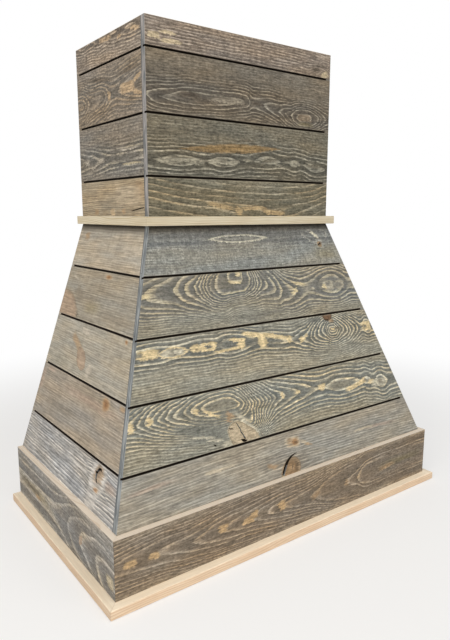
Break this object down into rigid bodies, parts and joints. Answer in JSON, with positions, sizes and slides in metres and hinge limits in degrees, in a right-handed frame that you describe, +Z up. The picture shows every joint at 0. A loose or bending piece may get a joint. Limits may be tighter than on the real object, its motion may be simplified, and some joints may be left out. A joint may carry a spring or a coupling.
{
  "type": "wooden range hood cover",
  "caption": "Wall-hung wooden range hood cover: a shiplap chimney box over a flared shiplap body, with a plain band, an apron and a projecting ledge, open for an extractor and duct.",
  "frame": {"origin": "on the ledge's underside, under the middle of the whole cover's footprint", "axes": "+Z up, -Y out into the room through the front boards, +Y into the wall, +X to the right of someone who faces the wall"},
  "size_m": [0.9524, 0.5524, 1.0914],
  "materials": {
    "stained_pine": "rough-sawn knotty pine with a grey-brown weathering stain, matt",
    "plain_pine": "planed natural pine, unstained, matt",
    "frame_pine": "planed construction pine, bare",
    "plywood": "sanded birch plywood, bare, with its plies showing at the edges"
  },
  "bodies": {
    "root": {"ledge_front": "plain_pine", "ledge_left": "plain_pine", "ledge_right": "plain_pine", "apron_front": "stained_pine", "apron_left": "stained_pine", "apron_right": "stained_pine", "body_front_board_1": "stained_pine", "body_front_board_2": "stained_pine", "body_front_board_3": "stained_pine", "body_front_board_4": "stained_pine", "body_front_board_5": "stained_pine", "body_left_board_1": "stained_pine", "body_left_board_2": "stained_pine", "body_left_board_3": "stained_pine", "body_left_board_4": "stained_pine", "body_left_board_5": "stained_pine", "body_right_board_1": "stained_pine", "body_right_board_2": "stained_pine", "body_right_board_3": "stained_pine", "body_right_board_4": "stained_pine", "body_right_board_5": "stained_pine", "band_front": "plain_pine", "band_left": "plain_pine", "band_right": "plain_pine", "chimney_front_board_1": "stained_pine", "chimney_front_board_2": "stained_pine", "chimney_front_board_3": "stained_pine", "chimney_front_board_4": "stained_pine", "chimney_left_board_1": "stained_pine", "chimney_left_board_2": "stained_pine", "chimney_left_board_3": "stained_pine", "chimney_left_board_4": "stained_pine", "chimney_right_board_1": "stained_pine", "chimney_right_board_2": "stained_pine", "chimney_right_board_3": "stained_pine", "chimney_right_board_4": "stained_pine", "base_rail_front": "frame_pine", "base_rail_left": "frame_pine", "base_rail_right": "frame_pine", "base_rail_wall": "frame_pine", "base_deck": "plywood", "body_post_front_left": "frame_pine", "body_post_front_right": "frame_pine", "body_post_back_left": "frame_pine", "body_post_back_right": "frame_pine", "body_stud_front": "frame_pine", "neck_plate": "plywood", "chimney_post_front_left": "frame_pine", "chimney_post_front_right": "frame_pine", "chimney_post_back_left": "frame_pine", "chimney_post_back_right": "frame_pine", "top_rail_front": "frame_pine", "top_rail_left": "frame_pine", "top_rail_right": "frame_pine", "wall_cleat": "frame_pine"}
  },
  "joints": []
}
